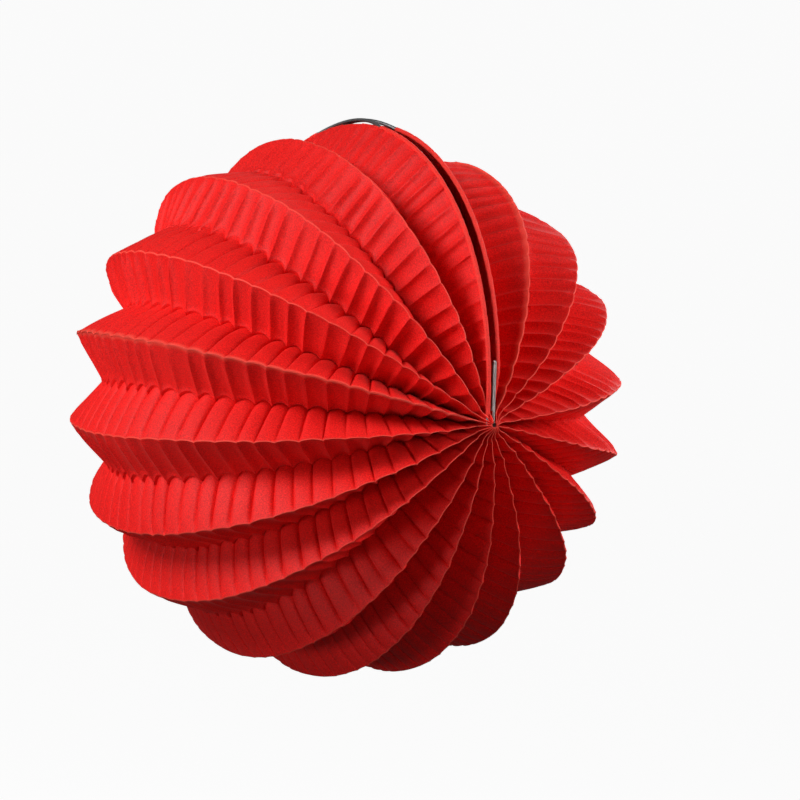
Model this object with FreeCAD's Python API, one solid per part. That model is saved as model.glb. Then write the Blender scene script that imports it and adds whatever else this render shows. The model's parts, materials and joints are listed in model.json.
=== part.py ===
"""Accordion paper lantern: nineteen pleats of crimped paper that fan round a level axis into a ball.

Every shape is made round the centre of the ball, in millimetres. X runs from the far pole to the near
pole, Z points up through the open seam, and the fan angle is measured from Z towards Y. The finished
shapes are then moved so that the origin is the point where the lantern hangs.
"""
import FreeCAD, Part
import os
from math import acos, asin, cos, degrees, pi, radians, sin, sqrt

Vector = FreeCAD.Vector

# Overall sizes
overall_height = 215.0      # from the lowest fold to the top of the carrying wires
handle_stand = 2.3          # how far the carrying wires stand above the folds

# Paper
widest_depth = 6.9          # how deep the widest pleat still is, from its outer folds to its inner fold
paper_thickness = 0.3       # crimped paper, pressed together
fold_gap = 0.2              # clearance between two pleats along the fold that they share
pole_gap = 0.35             # clearance between a hoop and the panel beside it, where the pleats start
stations = 25               # sections along each pleat, pole to pole
# How far each pleat stands open, in degrees, from one edge of the seam round to the other.
# The lantern hangs unevenly: its lower pleats are closer together than the others.
# They are stretched or closed together, by the same factor, to fill the round from hoop to hoop.
pleat_openings = [20.5, 21.5, 16.5, 18.5, 17.5, 17.0, 15.0, 20.5, 16.0, 17.0,
                  17.0, 21.5, 17.5, 21.0, 20.5, 18.5, 21.5, 21.0, 17.0]

# Steel wire hoops, one along each edge of the seam
hoop_wire = 1.4             # diameter of the wire
sharp_corner = 1.0          # a bend of more than this many degrees is a corner, not a smooth join
seam_opening = 2.0          # angle between the planes of the two hoops, degrees
leg_a = 10.0                # straight length of hoop A beside each pole
leg_b = 20.0                # straight length of hoop B beside each pole
eye_clear = 0.9             # how far eye B stays clear of eye A, along the pin

# Paper hems, each rolled round a hoop
hem_paper = 0.4             # two layers, glued
hem_slip = 0.05             # clearance between the wire and its hem
hem_past_leg = 1.0          # the hems stop this far outside the straight legs of the hoops
edge_gap = 0.3              # clearance between a hem and the pleat beside it

# Opening at the top, where the hems are cut away and the wires are the handle
handle_from = -35.0
handle_to = 12.0
handle_wire_rise = 1.2      # the wires are bent up by this much between the hems
handle_gap = 0.4            # clearance between the two wires, which are bent together over the handle

# Pins on the fan axis, one at each pole, of thinner wire bent into a hairpin
pin_wire = 0.9
pin_length = 26.0           # along the axis, inwards from the bend
pin_bend = 1.5              # radius of the bend
pin_end_gap = 0.2           # clearance between the bend and eye A
eye_play = 0.45             # clearance between the pin and the wire of an eye
hairpin_height = 24.0       # from the axis to the top of the hairpin
hairpin_spacing = 1.4       # between the centres of its two legs
hairpin_foot = 5.0          # height at which the second leg is cut off
hairpin_lean = 7.0          # towards the middle of the ball, degrees

# Sizes that follow from the ones above
ridge_radius = (overall_height - handle_stand) / 2
wire_radius = hoop_wire / 2
pin_radius = pin_wire / 2
hem_radius = wire_radius + hem_slip + hem_paper
hoop_radius = ridge_radius + handle_stand - handle_wire_rise - wire_radius
eye_radius = pin_radius + eye_play + wire_radius
eye_step = 2 * hoop_wire + eye_clear
hem_start = max(leg_a, leg_b) + hem_past_leg
eye_a_x = hoop_radius ** 2 / sqrt(hoop_radius ** 2 - leg_a ** 2)
eye_b_x = eye_a_x - eye_step
half_seam = seam_opening / 2
trim = ridge_radius - hoop_radius + hem_radius + edge_gap
first_fold = half_seam + degrees(asin(eye_radius / ridge_radius))
last_fold = 360 - first_fold
stretch = (last_fold - first_fold) / sum(pleat_openings)
widest_half = ridge_radius * sin(radians(max(pleat_openings) * stretch / 2))
panel_width = sqrt(widest_half ** 2 + widest_depth ** 2)
seam_pleat = min(pleat_openings[0], pleat_openings[-1]) * stretch
pole_room = sin(radians(first_fold + seam_pleat)) - sin(radians(half_seam))
pleat_start = (eye_radius + wire_radius + fold_gap / 2 + paper_thickness + pole_gap) / pole_room
hang_x = (handle_from + handle_to) / 2
hang_z = hoop_radius + handle_wire_rise - wire_radius
handle_lean = eye_radius + hoop_radius * sin(radians(half_seam)) - wire_radius - handle_gap / 2
centre = Vector(-hang_x, 0, -hang_z)
fan_axis = Vector(-1, 0, 0)


def fold_angles():
    """The fan angle of every outer fold, the two edges of the seam among them."""
    angles = [first_fold]
    for opening in pleat_openings:
        angles.append(angles[-1] + opening * stretch)
    return angles


def fold_point(number, theta):
    """A point on an outer fold, theta radians from the near pole."""
    across = ridge_radius * sin(theta)
    if number == 0:
        plane = half_seam
        offset = eye_radius
    elif number == len(pleat_openings):
        plane = 360 - half_seam
        offset = -eye_radius
    else:
        plane = folds[number]
        offset = 0.0
    up = Vector(0, sin(radians(plane)), cos(radians(plane)))
    side = Vector(0, cos(radians(plane)), -sin(radians(plane)))
    return Vector(ridge_radius * cos(theta), 0, 0) + up * across + side * offset


def pleat_section(number, theta):
    """The closed outline of one pleat: a V of paper, open towards the outside of the ball."""
    left = fold_point(number, theta)
    right = fold_point(number + 1, theta)
    across = right - left
    middle = (left + right) * 0.5
    half = across.Length / 2
    depth = sqrt(panel_width ** 2 - half ** 2)
    across.normalize()
    outward = Vector(middle)
    outward.normalize()
    valley = middle - outward * depth
    valley_out = valley + outward * (paper_thickness * panel_width / half)
    left = left + across * (fold_gap / 2)
    right = right - across * (fold_gap / 2)
    paper_across = across * (paper_thickness * panel_width / depth)
    left_in = left + paper_across
    right_in = right - paper_across
    across_axis = ridge_radius * sin(theta)
    if number == 0:
        back = trim + leg_inset(leg_b, eye_b_x, across_axis)
        left, left_in = moved_back(left, valley, back), moved_back(left_in, valley_out, back)
    if number == len(pleat_openings) - 1:
        back = trim + leg_inset(leg_a, eye_a_x, across_axis)
        right, right_in = moved_back(right, valley, back), moved_back(right_in, valley_out, back)
    return Part.makePolygon([valley, left, left_in, valley_out, right_in, right, valley])


def moved_back(edge, inner, distance):
    """A point of a seam edge, moved back along its panel to make room for the hem and the wire."""
    along = inner - edge
    along.normalize()
    return edge + along * distance


def leg_inset(leg, eye_x, across_axis):
    """How far the straight leg of a hoop lies inside the hoop's arc, at a distance from the fan axis."""
    if across_axis >= leg:
        return 0.0
    leg_x = sqrt(hoop_radius ** 2 - leg ** 2)
    on_leg = eye_x + (leg_x - eye_x) * across_axis / leg
    return max(0.0, sqrt(hoop_radius ** 2 - across_axis ** 2) - on_leg)


def pleat(number):
    """One pleat from pole to pole, its ends rounded about the fan axis that it turns on."""
    first = asin(0.85 * pleat_start / ridge_radius)
    step = (pi - 2 * first) / (stations - 1)
    sections = [pleat_section(number, first + index * step) for index in range(stations)]
    shape = Part.makeLoft(sections, True, True)
    core_end = Vector(-1.1 * ridge_radius, 0, 0)
    core = Part.makeCylinder(pleat_start, 2.2 * ridge_radius, core_end, Vector(1, 0, 0))
    return shape.cut(core)


def rod(edges, radius):
    """Round wire along edges that meet end to end, with a ball in each sharp corner."""
    pieces = []
    for edge in edges:
        start = edge.valueAt(edge.FirstParameter)
        along = edge.tangentAt(edge.FirstParameter)
        section = Part.Face(Part.Wire(Part.makeCircle(radius, start, along)))
        pieces.append(Part.Wire([edge]).makePipe(section))
    for before, after in zip(edges, edges[1:]):
        arriving = before.tangentAt(before.LastParameter)
        leaving = after.tangentAt(after.FirstParameter)
        if arriving.getAngle(leaving) > radians(sharp_corner):
            pieces.append(Part.makeSphere(radius, after.valueAt(after.FirstParameter)))
    return pieces[0].multiFuse(pieces[1:]).removeSplitter() if len(pieces) > 1 else pieces[0]


def on_hoop(x):
    """The point of a hoop's arc at a given x, in the plane of the hoop."""
    return Vector(x, 0, sqrt(hoop_radius ** 2 - x ** 2))


def hoop_arc(start, end):
    """A stretch of the hoop's arc between two places along X."""
    turn = (acos(start / hoop_radius) + acos(end / hoop_radius)) / 2
    middle = Vector(hoop_radius * cos(turn), 0, hoop_radius * sin(turn))
    return Part.Arc(on_hoop(start), middle, on_hoop(end)).toShape()


def in_seam(shape, side):
    """Moves a shape from the middle plane to hoop A (side -1) or hoop B (side 1)."""
    shape.translate(Vector(0, side * eye_radius, 0))
    shape.rotate(Vector(0, 0, 0), fan_axis, side * half_seam)
    return shape


def hoop(side, leg, eye_x):
    """One wire hoop: two straight legs, the arc, the raised and leaning handle, and two eyes."""
    leg_x = sqrt(hoop_radius ** 2 - leg ** 2)
    rise = Vector(hang_x, -side * handle_lean, hoop_radius + handle_wire_rise)
    edges = [Part.LineSegment(Vector(eye_x, 0, 0), on_hoop(leg_x)).toShape(),
             hoop_arc(leg_x, handle_to),
             Part.Arc(on_hoop(handle_to), rise, on_hoop(handle_from)).toShape(),
             hoop_arc(handle_from, -leg_x),
             Part.LineSegment(on_hoop(-leg_x), Vector(-eye_x, 0, 0)).toShape()]
    wire = in_seam(rod(edges, wire_radius), side)
    eye_places = (Vector(eye_x, 0, 0), Vector(-eye_x, 0, 0))
    eyes = [Part.makeTorus(eye_radius, wire_radius, place, Vector(1, 0, 0)) for place in eye_places]
    return wire.multiFuse(eyes)


def hem(side, start, end):
    """A hem of paper rolled round one stretch of a hoop."""
    path = [hoop_arc(start, end)]
    return in_seam(rod(path, hem_radius).cut(rod(path, wire_radius + hem_slip)), side)


def pole_pin(side):
    """A hairpin of thin wire: one leg runs along the fan axis, the doubled end stands in the seam."""
    bend_x = eye_a_x + wire_radius + pin_end_gap + pin_radius
    lean = radians(hairpin_lean)
    leg_up = Vector(-sin(lean), 0, cos(lean))
    leg_in = Vector(-cos(lean), 0, -sin(lean))
    bend_centre = Vector(bend_x - pin_bend, 0, pin_bend)
    foot = bend_centre - leg_in * pin_bend
    axis_end = Vector(bend_x - pin_bend, 0, 0)
    half_way = radians((90 - hairpin_lean) / 2 - 90 + hairpin_lean)
    corner = bend_centre + Vector(cos(half_way - lean), 0, sin(half_way - lean)) * pin_bend
    turn_radius = hairpin_spacing / 2
    top = foot + leg_up * (hairpin_height - turn_radius - foot.z)
    crown = top + leg_in * turn_radius + leg_up * turn_radius
    back = top + leg_in * hairpin_spacing
    cut_off = back - leg_up * (back.z - hairpin_foot)
    edges = [Part.LineSegment(axis_end - Vector(pin_length, 0, 0), axis_end).toShape(),
             Part.Arc(axis_end, corner, foot).toShape(),
             Part.LineSegment(foot, top).toShape(),
             Part.Arc(top, crown, back).toShape(),
             Part.LineSegment(back, cut_off).toShape()]
    shape = rod(edges, pin_radius)
    return shape if side > 0 else shape.mirror(Vector(0, 0, 0), Vector(1, 0, 0))


def save(name, shape):
    """Moves a finished shape to the hanging point and writes it."""
    shape.translate(centre)
    shape.exportStep("parts/" + name + ".step")
    print(name, len(shape.Solids), "solid", round(shape.Volume, 1), "mm3", "valid", shape.isValid())


os.makedirs("parts", exist_ok=True)
folds = fold_angles()
hem_x = sqrt(hoop_radius ** 2 - hem_start ** 2)

for number in range(len(pleat_openings)):
    save("pleat_%02d" % (number + 1), pleat(number))

save("hoop_a", hoop(-1, leg_a, eye_a_x))
save("hoop_b", hoop(1, leg_b, eye_b_x))
save("hem_a_near", hem(-1, hem_x, handle_to))
save("hem_a_far", hem(-1, handle_from, -hem_x))
save("hem_b_near", hem(1, hem_x, handle_to))
save("hem_b_far", hem(1, handle_from, -hem_x))
save("pole_pin_near", pole_pin(1))
save("pole_pin_far", pole_pin(-1))

print("ball centre", centre, "fold radius", ridge_radius, "hoop radius", hoop_radius)
print("panels", round(panel_width, 3), "wide, starting", round(pleat_start, 3), "from the axis")
print("folds at", [round(angle, 2) for angle in folds])
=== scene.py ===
# %% [markdown]
# # A paper lantern that opens like a fan
#
# The real lantern is one long strip of dyed paper. It was crimped between ridged plates, folded like an
# accordion, and its two ends were rolled round wire hoops. Opened right round, it makes a ball.
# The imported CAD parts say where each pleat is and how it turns. This script dresses them: crimped paper
# over the plain pleats, rolled hems over the hoops, and real finishes on the bare wire.

import json
import math

import bmesh
import bpy
import numpy as np
from mathutils import Matrix, Vector


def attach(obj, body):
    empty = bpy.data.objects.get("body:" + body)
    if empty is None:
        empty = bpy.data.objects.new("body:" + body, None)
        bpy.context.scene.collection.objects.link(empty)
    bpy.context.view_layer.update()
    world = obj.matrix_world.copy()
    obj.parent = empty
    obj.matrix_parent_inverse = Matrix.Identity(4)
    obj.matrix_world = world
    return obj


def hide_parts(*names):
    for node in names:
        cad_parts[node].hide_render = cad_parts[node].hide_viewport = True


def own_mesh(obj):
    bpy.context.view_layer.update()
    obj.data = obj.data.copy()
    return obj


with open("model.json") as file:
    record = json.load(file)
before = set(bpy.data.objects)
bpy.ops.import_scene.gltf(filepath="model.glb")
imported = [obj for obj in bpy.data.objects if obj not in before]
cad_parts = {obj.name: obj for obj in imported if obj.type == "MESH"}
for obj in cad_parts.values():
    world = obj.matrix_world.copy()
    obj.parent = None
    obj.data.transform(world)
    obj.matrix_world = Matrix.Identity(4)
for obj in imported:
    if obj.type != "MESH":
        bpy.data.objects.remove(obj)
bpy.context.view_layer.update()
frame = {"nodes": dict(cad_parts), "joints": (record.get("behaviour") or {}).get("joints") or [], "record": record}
MM = 0.001
print("nodes in the frame:", len(frame["nodes"]))

# %% [markdown]
# ## Where the folds are
#
# The places of the folds could be typed in again, but then two files would say the same thing. Instead
# they are worked out from the frame. A pleat turns by its own share of the whole fold, and that share
# says where the middle of the pleat is. The middles, taken one after another, give the folds.

# %% Fan angles of the folds
joints = {joint["name"]: joint for joint in frame["joints"]}
couplings = frame["record"]["behaviour"]["couplings"]
shares = sorted((coupling["ratio"] for coupling in couplings), reverse=True)
PLEATS = len(shares)
centre = np.array(joints["fan_fold"]["pos_m"], float)
seam_half_angle = math.radians(1.0)
hoop_offset = 1.6 * MM      # each hoop's plane lies this far from the fan axis, on its own side
fold_radius = 106.35 * MM
first_fold = seam_half_angle + math.asin(hoop_offset / fold_radius)
last_fold = 2 * math.pi - first_fold
folds = [first_fold]
for share in shares:
    middle = last_fold - share * (last_fold - first_fold)
    folds.append(2 * middle - folds[-1])
print("folds at", [round(math.degrees(fold), 1) for fold in folds])

# %% Sizes of the panels and hoops
pleat_corners = [np.array([v.co for v in frame["nodes"]["pleat_%02d" % number].data.vertices]) - centre
                 for number in range(2, PLEATS)]
equator = np.concatenate([np.linalg.norm(p[np.abs(p[:, 0]) < 1 * MM], axis=1) for p in pleat_corners])
print("measured fold radius", equator.max(), "deepest inner fold at", equator.min())
panel_width = 21.07 * MM
hoop_radius = 106.75 * MM
leg_a = 10.0 * MM           # each hoop runs straight for this height above the fan axis
leg_b = 20.0 * MM
eye_step = 3.7 * MM         # hoop B's eyes sit inside those of hoop A
eye_a_x = hoop_radius ** 2 / math.sqrt(hoop_radius ** 2 - leg_a ** 2)
eye_b_x = eye_a_x - eye_step
handle_from = -35.0 * MM    # the wires are bare between these two places
handle_to = 12.0 * MM

# %% [markdown]
# ## The crimps
#
# The flutes were pressed into the whole stack while it was folded, so every layer waves the same way.
# Once the fan is open, a flute that stands out of one panel is sunk into the next. That gives one side
# of each pleat broad round flutes with thin grooves between them, and the other side broad flats with
# thin ridges. A bump texture could fake it, but the scalloped inner folds need real geometry, so the
# crimps are a formula that moves the points of a grid. One flute takes eleven columns of points, which
# crowd together at its groove.

# %% Flutes, counted from pole to pole
FLUTES = 40
flute_steps = np.array([0.0, 0.05, 0.1, 0.16, 0.26, 0.4, 0.55, 0.7, 0.82, 0.9, 0.95])
flute_rows = np.array([0.0, 0.03, 0.065, 0.11, 0.18, 0.27, 0.38, 0.5, 0.62, 0.74, 0.84, 0.91, 0.955, 0.98,
                       1.0])
groove_width = 0.075        # as a share of a flute
soft_width = 0.17           # the ridges on the other side of a pleat are softer
groove_depth = 1.3 * MM     # at the inner folds
groove_shallow = 0.7 * MM   # beside the outer folds
fold_waver = 0.55 * MM      # how far the outer folds wave from side to side
pole_gap = 0.9 * MM         # the paper is gathered this close to the fan axis

columns = np.concatenate([flute + flute_steps for flute in range(FLUTES)] + [[FLUTES]])
first_column = FLUTES / math.pi * math.asin(pole_gap / fold_radius)
columns = np.concatenate([[first_column], columns[(columns > first_column + 0.02)
                                                  & (columns < FLUTES - first_column - 0.02)],
                          [FLUTES - first_column]])
rows = np.concatenate([-flute_rows[::-1], flute_rows[1:]])
print(len(columns), "columns and", len(rows), "rows in each pleat")

# %% Small irregularities, the same on both sides of a fold
random = np.random.default_rng(21)
flute_strength = random.uniform(0.55, 1.35, (PLEATS + 1, FLUTES + 1))
drift_phase = random.uniform(0, 2 * math.pi, (PLEATS + 1, 6))


def waver(fold, c, part):
    """A slow wandering value, about -1 to 1, along one fold."""
    slow, middling, quick = (drift_phase[fold, (part + k) % 6] for k in (0, 2, 4))
    return (0.5 * np.sin(0.29 * c + slow) + 0.3 * np.sin(0.73 * c + middling)
            + 0.2 * np.sin(1.61 * c + quick))


def smooth(low, high, value):
    """0 below low, 1 above high and a smooth step between them."""
    t = np.clip((value - low) / (high - low), 0, 1)
    return t * t * (3 - 2 * t)


def unit(vectors):
    """The same directions, each one long."""
    return vectors / np.linalg.norm(vectors, axis=-1, keepdims=True)


# %% The height of a flute across its width
def flute_profile(c, away, width=groove_width):
    """Height of the crimp at column c, -1 in a groove. away is 0 at an inner fold, 1 at an outer one."""
    t = c - np.floor(c)
    groove = np.exp(-(np.minimum(t, 1 - t) / width) ** 2)
    flat = 0.22 - groove + 0.5 * (t - 0.5) * (1 - groove) + 0.14 * (1 - (2 * t - 1) ** 2)
    tongue = 1.25 * np.abs(np.sin(math.pi * t)) ** 0.75 - 0.9
    flat_share = smooth(0.0, 0.4, away)
    return flat * flat_share + tongue * (1 - flat_share)


# %% [markdown]
# ## One pleat
#
# A pleat is a V of two panels. Its outer folds lie on the ball, and its inner fold lies as deep as the
# width of the panels puts it. Both are worked out for every column, then the crimps, the wandering of
# the folds and the gathering at the poles are added. The outer folds move alike in both pleats that
# share one, so that the paper looks unbroken though each pleat is a piece of its own that can turn.

# %% Lines of the folds
def directions(angle):
    """Up and sideways unit vectors of the half plane at a fan angle."""
    up = np.array([0, math.sin(angle), math.cos(angle)])
    side = np.array([0, math.cos(angle), -math.sin(angle)])
    return up, side


def hoop_line(theta, side):
    """X and height of a hoop's middle line, theta radians from the near pole. Side -1 is hoop A."""
    leg, eye_x = (leg_a, eye_a_x) if side < 0 else (leg_b, eye_b_x)
    leg_x = math.sqrt(hoop_radius ** 2 - leg ** 2)
    height = hoop_radius * np.sin(theta)
    x = hoop_radius * np.cos(theta)
    on_leg = eye_x + (leg_x - eye_x) * height / leg
    return np.where(height < leg, np.sign(x) * on_leg, x), height


def seam_side(fold):
    """1 for seam edge B, -1 for seam edge A and 0 for a fold between pleats."""
    return {0: 1, PLEATS: -1}.get(fold, 0)


def outer_fold(fold, theta):
    """The points of an outer fold, as if it were a plain circle, from the ball's centre."""
    side = seam_side(fold)
    up, across = directions(side * seam_half_angle if side else folds[fold])
    flat = np.stack([np.cos(theta), np.zeros_like(theta), np.zeros_like(theta)], -1)
    line = fold_radius * (flat + np.sin(theta)[..., None] * up)
    return line + across * side * hoop_offset


def paper_edge(fold, theta):
    """Where the paper meets the middle of a hem, or the fold itself away from the seam."""
    side = seam_side(fold)
    if side == 0:
        return outer_fold(fold, theta)
    up, across = directions(side * seam_half_angle)
    x, height = hoop_line(theta, side)
    flat = np.stack([x, np.zeros_like(x), np.zeros_like(x)], -1)
    return flat + height[..., None] * up + across * side * hoop_offset


# %% How the outer folds leave their circles
lip_heights = {1: 1.15 * MM, 15: 0.6 * MM}      # doubled folds, where two lengths of paper were glued
# beside the seam nothing but the crimps holds the paper up, so it sags
sags = {1: 4.2 * MM, 2: 1.2 * MM, 17: 0.8 * MM, 18: 2.4 * MM}
fold_drift = 0.45 * MM      # slow wandering of a fold, sideways
fold_swell = 0.25 * MM      # and towards the ball's centre or away from it
hem_calm = 0.25             # an edge held by its hem moves only this share as far


def fold_shift(fold, c, theta):
    """How an outer fold leaves its circle: it waves with the flutes and wanders slowly."""
    side = seam_side(fold)
    up, across = directions(side * seam_half_angle if side else folds[fold])
    away_from_pole = smooth(2 * MM, 14 * MM, fold_radius * np.sin(theta))
    share = hem_calm if side else 1.0
    wave = fold_waver * flute_profile(c, 0.1) * flute_strength[fold, np.clip(c.astype(int), 0, FLUTES)]
    sideways = share * away_from_pole * (wave + fold_drift * waver(fold, c, 0))
    outwards = share * away_from_pole * fold_swell * waver(fold, c, 1)
    outwards = outwards - sags.get(fold, 0.0) * np.sin(theta) ** 2
    radial = unit(outer_fold(fold, theta))
    return sideways[..., None] * across + outwards[..., None] * radial


# %% Small sizes of the paper
column_drift = 0.34         # how far a flute wanders along the pleat, as a share of a flute
gathered_depth = 0.35 * MM  # a pleat is pressed this flat where it is gathered at a pole
valley_drift = 0.5 * MM     # slow wandering of an inner fold
paper_spring = 0.35 * MM    # height of the shallow curve in each panel
fold_roll = 0.5 * MM        # height of the rolled edge at an inner fold
lip_gap = 0.16 * MM         # half the space between the two layers of a doubled lip
strip_width = 4.3 * MM      # the strip glued down beside a hem
strip_edge_waver = 0.5 * MM
strip_step = 0.38 * MM
eye_cover = 3.2 * MM        # how far the paper reaches out over the eyes of the hoops


# %% The surface of a pleat
def pleat_surface(number, c, v):
    """Points of pleat number (0 is the first) for columns c and rows v, -1 to 1, and how much each is paled for
    wear and painted highlight.
    """
    left_fold, right_fold = number, number + 1
    share = (1 + v) / 2
    drift = column_drift * ((1 - share) * waver(left_fold, c, 2) + share * waver(right_fold, c, 2))
    inside = smooth(0, 1.5, c) * smooth(0, 1.5, FLUTES - c)
    theta = math.pi * (c + drift * inside) / FLUTES
    left, right = outer_fold(left_fold, theta), outer_fold(right_fold, theta)
    across = unit(right - left)
    half = np.linalg.norm(right - left, axis=-1) / 2
    middle = (left + right) / 2
    outward = unit(middle)
    depth = np.sqrt(panel_width ** 2 - half ** 2)
    from_axis = fold_radius * np.sin(theta)
    gathered = smooth(1.5 * MM, 5 * MM, from_axis)
    depth = depth * gathered + gathered_depth * (1 - gathered)
    depth = depth + valley_drift * gathered * waver(left_fold, c, 3)
    width = np.sqrt(depth ** 2 + half ** 2)
    lean, rise = (half / width)[..., None], (depth / width)[..., None]
    valley = middle - outward * depth[..., None]
    edge = np.where((v < 0)[..., None], paper_edge(left_fold, theta), paper_edge(right_fold, theta))
    away = np.abs(v)
    points = valley + (edge - valley) * away[..., None]
    sign = np.where(v < 0, 1.0, -1.0)[..., None]
    normal = outward * lean + across * sign * rise
    along = unit(edge - valley)

    # crimps, deepest at the inner fold
    whole = np.clip(c.astype(int), 0, FLUTES)
    strength = (1 - share) * flute_strength[left_fold, whole] + share * flute_strength[right_fold, whole]
    calm = smooth(2 * MM, 12 * MM, from_axis)
    size = (groove_shallow + (groove_depth - groove_shallow) * (1 - away) ** 0.9) * strength * calm
    width_here = np.where(v < 0, groove_width, soft_width)
    height = (flute_profile(c, away, width_here) * size)[..., None]
    slide = (1 - smooth(0.0, 0.35, away))[..., None] * np.minimum(lean / np.maximum(rise, 0.05), 3.0)
    crimp = height * (normal * sign - along * sign * slide)
    crimp = np.where((v == 0)[..., None], height * across / np.maximum(rise, 0.3), crimp)

    # outer folds, shared with the next pleat
    to_left = fold_shift(left_fold, c, theta)
    to_right = fold_shift(right_fold, c, theta)
    shift = np.where((v < 0)[..., None], to_left, to_right)
    beside_seam = np.where(v < 0, left_fold == 0, right_fold == PLEATS)
    at_fold = smooth(np.where(beside_seam, 0.94, 0.8), 1.0, away)[..., None]
    points = points + crimp * (1 - at_fold) + shift * smooth(0.0, 1.0, away)[..., None]

    # paper springs into a shallow curve between its folds, and rolls over at the inner fold
    spring = paper_spring * np.sin(math.pi * away) * calm
    roll = fold_roll * np.exp(-((away - 0.06) / 0.035) ** 2) * (v > 0) * calm
    points = points + normal * (spring + roll)[..., None]

    # glued folds stand up as a doubled lip
    lip = np.where(v < 0, lip_heights.get(left_fold, 0.0), lip_heights.get(right_fold, 0.0))
    standing = smooth(0.93, 0.95, away) * smooth(3 * MM, 9 * MM, from_axis)
    near_fold = np.where((v < 0)[..., None], left + to_left, right + to_right)
    up_lip = unit(near_fold)
    climb = smooth(0.93, 1.0, away)[..., None]
    doubled = near_fold + up_lip * (lip * (climb[..., 0] - 0.15))[..., None] + across * sign * lip_gap
    use_lip = (standing * (lip > 0))[..., None]
    points = points * (1 - use_lip) + doubled * use_lip

    # the strip glued down beside each hem shows as a low step
    strip_edge = strip_width + strip_edge_waver * (flute_strength[number, whole] - 1)
    from_edge = (1 - away) * width
    step = strip_step * smooth(0.25 * MM, -0.25 * MM, from_edge - strip_edge) * beside_seam
    step = step * smooth(0.75, 1.0, flute_strength[right_fold, whole])
    points = points + normal * step[..., None]

    # over the eyes of the hoops the paper is drawn outwards
    cover = 1 - smooth(1.5 * MM, 6 * MM, from_axis)
    past_pole = np.sign(np.cos(theta))[..., None] * np.array([1, 0, 0])
    points = points + past_pole * (eye_cover * cover)[..., None]
    # Folds and glued lips are marked paler: partly rubbed wear, partly a painted highlight on the fold line.
    wear_and_highlight = np.maximum(smooth(0.978, 1.0, away), (use_lip[..., 0] > 0.5) * 1.0)
    return points + centre, wear_and_highlight


# %% A grid bent into a pleat
def grid_piece(name, x_points, y_points, formula):
    """A mesh grid whose points are moved by a formula of their column and row, with each point's share of the
    paler colour for wear and painted highlight.
    """
    bm = bmesh.new()
    bmesh.ops.create_grid(bm, x_segments=len(x_points) - 1, y_segments=len(y_points) - 1, size=1.0)
    mesh = bpy.data.meshes.new(name)
    bm.to_mesh(mesh)
    bm.free()
    flat = np.zeros(len(mesh.vertices) * 3)
    mesh.vertices.foreach_get("co", flat)
    flat = flat.reshape(-1, 3)
    column = np.rint((flat[:, 0] + 1) / 2 * (len(x_points) - 1)).astype(int)
    row = np.rint((flat[:, 1] + 1) / 2 * (len(y_points) - 1)).astype(int)
    places, wear_and_highlight = formula(x_points[column], y_points[row])
    mesh.vertices.foreach_set("co", places.ravel())
    mesh.attributes.new("wear_and_highlight", "FLOAT", "POINT").data.foreach_set("value", wear_and_highlight.astype(np.float32))
    mesh.update()
    piece = bpy.data.objects.new(name, mesh)
    bpy.context.scene.collection.objects.link(piece)
    return piece


def finish_paper(piece, thickness, material):
    """Smooth shading with the sharp creases kept, then the real thickness of the paper."""
    mesh = piece.data
    mesh.polygons.foreach_set("use_smooth", [True] * len(mesh.polygons))
    mesh.set_sharp_from_angle(angle=math.radians(38))
    mesh.materials.append(material)
    solid = piece.modifiers.new("Paper thickness", "SOLIDIFY")
    solid.thickness = thickness
    solid.offset = 0


# %% [markdown]
# ## Colours
#
# Every colour is written as a hex value, as a paint or ink maker would note it, and one function turns
# it into the linear numbers that the shader needs.

# %% From hex to linear colour
def colour(code):
    """An sRGB hex colour as linear red, green, blue and alpha."""
    values = [int(code[i:i + 2], 16) / 255 for i in (1, 3, 5)]
    return [v / 12.92 if v <= 0.04045 else ((v + 0.055) / 1.055) ** 2.4 for v in values] + [1.0]


def add_node(tree, kind, settings=None, **links):
    """Adds one node. Settings are its properties; links are values or other nodes' outputs by socket."""
    node = tree.nodes.new(kind)
    for key, value in (settings or {}).items():
        setattr(node, key, value)
    for key, value in links.items():
        socket = node.inputs[int(key[1:])] if key[0] == "_" else node.inputs[key.replace("_", " ")]
        if isinstance(value, bpy.types.NodeSocket):
            tree.links.new(value, socket)
        else:
            socket.default_value = value
    return node


def new_material(name):
    """A new material with its node tree, its shader and the place of each point on the piece."""
    material = bpy.data.materials.new(name)
    material.use_nodes = True
    tree = material.node_tree
    place = tree.nodes.new("ShaderNodeTexCoord").outputs["Object"]
    return material, tree, tree.nodes["Principled BSDF"], place
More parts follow.
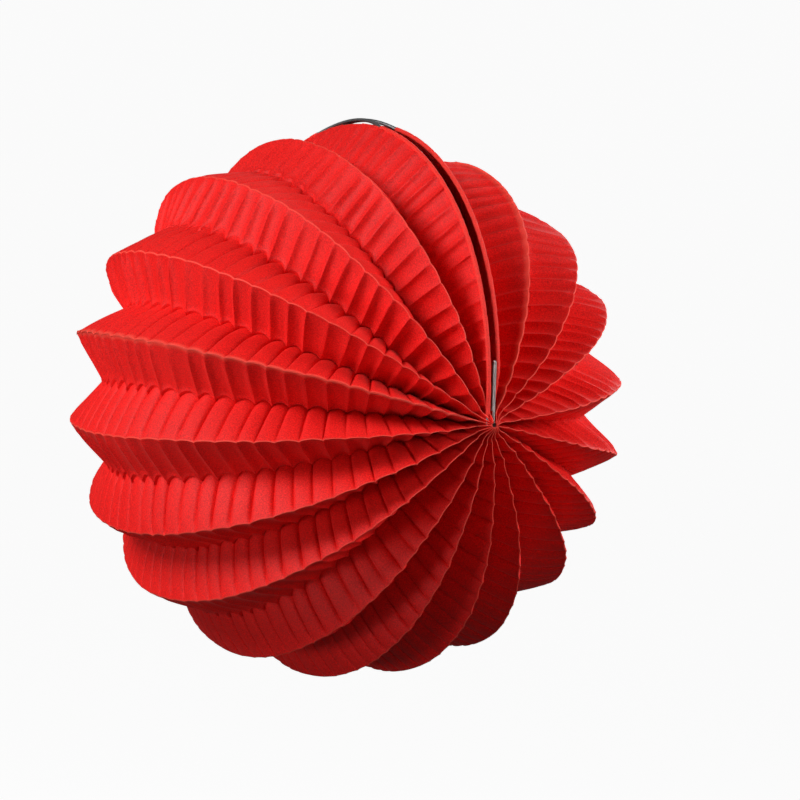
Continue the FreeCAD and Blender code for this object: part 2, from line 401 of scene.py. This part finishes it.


# %% [markdown]
# ## The paper
#
# The lantern is made of kraft-weight paper, dyed right through and pressed while damp. Pressing leaves
# it matt with a slight grain, and fibres lie at all angles, so the colour is mottled at about half a
# millimetre. Folds are painted paler: partly rubbed wear where they are handled, partly a painted
# highlight along each fold line. A flat red would look like plastic.

# %% Dyed crimped paper
def dyed_paper():
    """Dyed kraft paper, crimped while damp: matt, finely mottled, and paler along its folds (rubbed wear and
    painted highlight).
    """
    material, tree, shader, place = new_material("Dyed kraft paper, crimped")
    grain_mm, cloud_mm, fibre_mm = 0.55, 14.0, 0.3
    grain = add_node(tree, "ShaderNodeTexNoise", Vector=place, Scale=1000 / grain_mm, Detail=3.0,
                     Roughness=0.6)
    cloud = add_node(tree, "ShaderNodeTexNoise", Vector=place, Scale=1000 / cloud_mm, Detail=2.0)
    speckle = add_node(tree, "ShaderNodeMapRange", Value=grain.outputs["Fac"], From_Min=0.3, From_Max=0.7)
    mottle = add_node(tree, "ShaderNodeMix", {"data_type": "RGBA"}, _0=speckle.outputs["Result"],
                      _6=colour("#C00207"), _7=colour("#FF1C16"))
    patch = add_node(tree, "ShaderNodeMapRange", Value=cloud.outputs["Fac"], From_Min=0.3, From_Max=0.7,
                     To_Min=0.0, To_Max=0.22)
    faded = add_node(tree, "ShaderNodeMix", {"data_type": "RGBA"}, _0=patch.outputs["Result"],
                     _6=mottle.outputs[2], _7=colour("#F0241C"))
    # The paler colour along the folds is partly rubbed wear and partly a painted highlight on the fold lines.
    wear_and_highlight = add_node(tree, "ShaderNodeAttribute", {"attribute_name": "wear_and_highlight"})
    wear_and_highlight_share = add_node(tree, "ShaderNodeMath", {"operation": "MULTIPLY"}, _0=wear_and_highlight.outputs["Fac"], _1=0.7)
    paler_for_wear_and_highlight = add_node(tree, "ShaderNodeMix", {"data_type": "RGBA"}, _0=wear_and_highlight_share.outputs[0],
                      _6=faded.outputs[2], _7=colour("#FF5A4A"))
    tree.links.new(paler_for_wear_and_highlight.outputs[2], shader.inputs["Base Color"])
    shader.inputs["Roughness"].default_value = 0.62
    shader.inputs["IOR"].default_value = 1.45
    shader.inputs["Specular IOR Level"].default_value = 0.3
    shader.inputs["Subsurface Weight"].default_value = 0.1
    shader.inputs["Subsurface Radius"].default_value = (1.0, 0.12, 0.08)
    shader.inputs["Subsurface Scale"].default_value = 0.6 * MM
    shader.inputs["Sheen Weight"].default_value = 0.04
    shader.inputs["Sheen Roughness"].default_value = 0.45
    shader.inputs["Sheen Tint"].default_value = colour("#FFC4B8")
    fibre = add_node(tree, "ShaderNodeTexNoise", Vector=place, Scale=1000 / fibre_mm, Detail=2.0)
    bump = add_node(tree, "ShaderNodeBump", Height=fibre.outputs["Fac"], Strength=0.55,
                    Distance=0.08 * MM)
    tree.links.new(bump.outputs["Normal"], shader.inputs["Normal"])
    return material


paper = dyed_paper()
print("made", paper.name)

# %% [markdown]
# ## Nineteen pleats
#
# Each pleat takes the place of its CAD node and rides on that node's body. When the fan is closed,
# the pack is 16.3 degrees wide where the open fan was 356.3.

# %% Make the pleats
PAPER_THICKNESS = 0.22 * MM
for number in range(PLEATS):
    name = "pleat_%02d" % (number + 1)
    piece = grid_piece("paper_" + name, columns, rows, lambda c, v: pleat_surface(number, c, v))
    finish_paper(piece, PAPER_THICKNESS, paper)
    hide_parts(name)
    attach(piece, "fan_part_%02d" % (number + 1))
    middle = (folds[number] + folds[number + 1]) / 2
    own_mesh(piece)

# %% [markdown]
# ## Hems
#
# Each end of the strip is rolled round a wire hoop and glued. The roll is a tight tube of paper, pinched
# a little at each flute. It stops on both sides of the handle, where the paper was cut away, and runs
# down each straight leg to the eye at the pole. A tube is a grid with its two long edges welded.

# %% Rolled hems
hem_radius = 0.86 * MM
hem_pinch = 0.13            # how much a flute pinches the roll, as a share of its radius
hem_gap = 2.6 * MM          # each hem ends at this height above the fan axis
hem_rub = 0.35              # hems are handled less than the folds
ROUND = 12
around = np.linspace(0, 1, ROUND + 1)


def hem_piece(name, node, body, side, start, end):
    """A hem along one stretch of a hoop, from start to end in radians from the near pole."""
    first, last = (FLUTES * angle / math.pi for angle in (start, end))
    inner = columns[(columns > first + 0.05) & (columns < last - 0.05)]
    stretch = np.concatenate([[first], inner, [last]])
    up, across = directions(side * seam_half_angle)
    edge_fold = 0 if side > 0 else PLEATS

    def surface(c, turn):
        theta = math.pi * c / FLUTES
        step = 0.001
        before = paper_edge(edge_fold, theta - step)
        after = paper_edge(edge_fold, theta + step)
        line = (before + after) / 2
        along = unit(after - before)
        out = unit(np.cross(along, across))
        radius = hem_radius * (1 + hem_pinch * flute_profile(c, 1.0))
        angle = 2 * math.pi * turn
        ring = np.cos(angle)[:, None] * out + np.sin(angle)[:, None] * across
        return line + ring * radius[:, None] + centre, np.full(len(c), hem_rub)

    piece = grid_piece(name, stretch, around, surface)
    bm = bmesh.new()
    bm.from_mesh(piece.data)
    bmesh.ops.remove_doubles(bm, verts=bm.verts, dist=0.02 * MM)
    ends = [edge for edge in bm.edges if edge.is_boundary]
    bmesh.ops.holes_fill(bm, edges=ends, sides=ROUND + 1)
    bmesh.ops.recalc_face_normals(bm, faces=bm.faces)
    bm.to_mesh(piece.data)
    bm.free()
    piece.data.polygons.foreach_set("use_smooth", [True] * len(piece.data.polygons))
    piece.data.materials.append(paper)
    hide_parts(node)
    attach(piece, body)


hem_end = math.asin(hem_gap / hoop_radius)
cut_near = math.acos(handle_to / hoop_radius)
cut_far = math.acos(handle_from / hoop_radius)
for side, letter in ((-1, "a"), (1, "b")):
    for end, start_at, stop_at in (("near", hem_end, cut_near), ("far", cut_far, math.pi - hem_end)):
        place = "%s_%s" % (letter, end)
        hem_piece("hem_roll_" + place, "hem_" + place, "end_frame_" + letter, side, start_at, stop_at)
print("hems made: 4")

# %% [markdown]
# ## Wire
#
# The hoops are zinc-coated steel wire, drawn through a die and then dipped: grey, slightly soft in its
# shine, with faint lengthwise lines. The pins are bare drawn steel, brighter and smoother. Both keep
# their CAD shape, and only their finish is made here.

# %% Zinc-coated and bare wire
def steel_wire(name, low, high, roughness, line_mm):
    """Drawn steel wire: a metal, with fine lines left by the die and a tone that varies a little."""
    material, tree, shader, place = new_material(name)
    tone = add_node(tree, "ShaderNodeTexNoise", Vector=place, Scale=1000 / 3.0, Detail=4.0)
    mix = add_node(tree, "ShaderNodeMix", {"data_type": "RGBA"}, _0=tone.outputs["Fac"],
                   _6=colour(low), _7=colour(high))
    tree.links.new(mix.outputs[2], shader.inputs["Base Color"])
    shader.inputs["Metallic"].default_value = 1.0
    shader.inputs["Roughness"].default_value = roughness
    lines = add_node(tree, "ShaderNodeTexNoise", Vector=place, Scale=1000 / line_mm, Detail=2.0)
    bump = add_node(tree, "ShaderNodeBump", Height=lines.outputs["Fac"], Strength=0.2,
                    Distance=0.03 * MM)
    tree.links.new(bump.outputs["Normal"], shader.inputs["Normal"])
    return material


zinc_wire = steel_wire("Zinc-coated steel wire, drawn", "#9A9C9E", "#C9CBCC", 0.38, 0.3)
bare_wire = steel_wire("Bare steel wire, drawn", "#8C8684", "#B4AEAC", 0.42, 0.2)
for node_name, material in (("hoop_a", zinc_wire), ("hoop_b", zinc_wire),
                            ("pole_pin_near", bare_wire), ("pole_pin_far", bare_wire)):
    node = frame["nodes"][node_name]
    node.data.materials.clear()
    node.data.materials.append(material)
    node.data.polygons.foreach_set("use_smooth", [True] * len(node.data.polygons))
    node.data.set_sharp_from_angle(angle=math.radians(40))
print("wires finished: 4")

# %% [markdown]
# ## Floor, light and camera
#
# The lantern hangs, so the floor is well below it. It curves up into a round wall, far enough away to
# walk the camera round inside it, and has no edge to show. A soft lamp above and to the left makes the
# upper panels bright and leaves the ones that face down deep red. Another looks up from low down. Most
# of it is under the floor, so that only its upper edge reaches the ball, and softly.

# %% Round studio floor
clear_below = 0.35          # metres of air between the ball and the floor


def studio_floor():
    """A wide pale floor that curves up into a wall all the way round."""
    floor_z = centre[2] - fold_radius - clear_below
    bm = bmesh.new()
    outline = [(0, 0), (9, 0), (11, 0.3), (12.2, 1.2), (12.8, 2.5), (13, 6), (13, 9)]   # metres out and up
    verts = [bm.verts.new((x, 0, z)) for x, z in outline]
    edges = [bm.edges.new(pair) for pair in zip(verts, verts[1:])]
    bmesh.ops.spin(bm, geom=verts + edges, cent=(0, 0, 0), axis=(0, 0, 1), angle=2 * math.pi, steps=64,
                   use_merge=True)
    bmesh.ops.remove_doubles(bm, verts=bm.verts, dist=0.001)
    bmesh.ops.recalc_face_normals(bm, faces=bm.faces)
    bmesh.ops.reverse_faces(bm, faces=bm.faces)
    bmesh.ops.translate(bm, verts=bm.verts, vec=(centre[0], centre[1], floor_z))
    mesh = bpy.data.meshes.new("studio_floor")
    bm.to_mesh(mesh)
    bm.free()
    floor = bpy.data.objects.new("studio_floor", mesh)
    bpy.context.scene.collection.objects.link(floor)
    mesh.polygons.foreach_set("use_smooth", [True] * len(mesh.polygons))
    material, tree, shader, place = new_material("Matt white studio paint")
    shader.inputs["Base Color"].default_value = colour("#C8C8C8")
    shader.inputs["Roughness"].default_value = 0.9
    shader.inputs["Specular IOR Level"].default_value = 0.0
    shader.inputs["Emission Color"].default_value = colour("#FFFFFF")
    shader.inputs["Emission Strength"].default_value = 0.92
    mesh.materials.append(material)
    floor.visible_diffuse = False
    floor.visible_glossy = False


studio_floor()


# %% Lamps
def lamp(name, direction, distance, size, power):
    """A square soft lamp in a direction from the ball's centre, turned towards it. Metres and watts."""
    data = bpy.data.lights.new(name, "AREA")
    data.shape = "SQUARE"
    data.size = size
    data.energy = power
    light = bpy.data.objects.new(name, data)
    bpy.context.scene.collection.objects.link(light)
    towards = Vector(direction).normalized()
    light.location = Vector(centre) + towards * distance
    light.rotation_mode = "QUATERNION"
    light.rotation_quaternion = (-towards).to_track_quat("-Z", "Y")


back = Vector((0.85376, -0.51941, 0.03675)).normalized()    # from the ball towards the camera
right = Vector((0.51412, 0.85203, 0.09875)).normalized()    # to the right as the camera sees it
up = back.cross(right)
lamp("key", -1.0 * right + 0.8 * up + 0.65 * back, 1.2, 0.5, 12.5)
lamp("fill", 1.0 * right + 0.45 * up + 0.35 * back, 1.4, 0.7, 15)
lamp("low", 0.7 * right - 0.7 * up + 1.0 * back, 1.6, 0.7, 13)
lamp("side", -1.0 * right - 0.3 * up + 0.65 * back, 1.4, 0.5, 8)
lamp("rim", 0.6 * right + 0.5 * up - 0.9 * back, 1.2, 0.8, 5)
world = bpy.context.scene.world or bpy.data.worlds.new("World")
bpy.context.scene.world = world
world.use_nodes = True
world.node_tree.nodes["Background"].inputs["Color"].default_value = colour("#FFFFFF")
world.node_tree.nodes["Background"].inputs["Strength"].default_value = 0.06
bpy.context.scene.view_settings.view_transform = "Standard"

# %% Camera
camera_distance = 3.5
aim_right = 0.0209          # the camera is shifted so that the ball hangs a little left of the middle
aim_up = 0.0004
camera_data = bpy.data.cameras.new("camera")
camera_data.lens = 409
camera_data.sensor_width = 36
camera_data.clip_start = 0.1
camera_data.clip_end = 60
camera = bpy.data.objects.new("camera", camera_data)
bpy.context.scene.collection.objects.link(camera)
camera.rotation_mode = "QUATERNION"
camera.rotation_quaternion = Matrix((right, up, back)).transposed().to_quaternion()
camera.location = Vector(centre) + back * camera_distance + right * aim_right + up * aim_up
bpy.context.scene.camera = camera
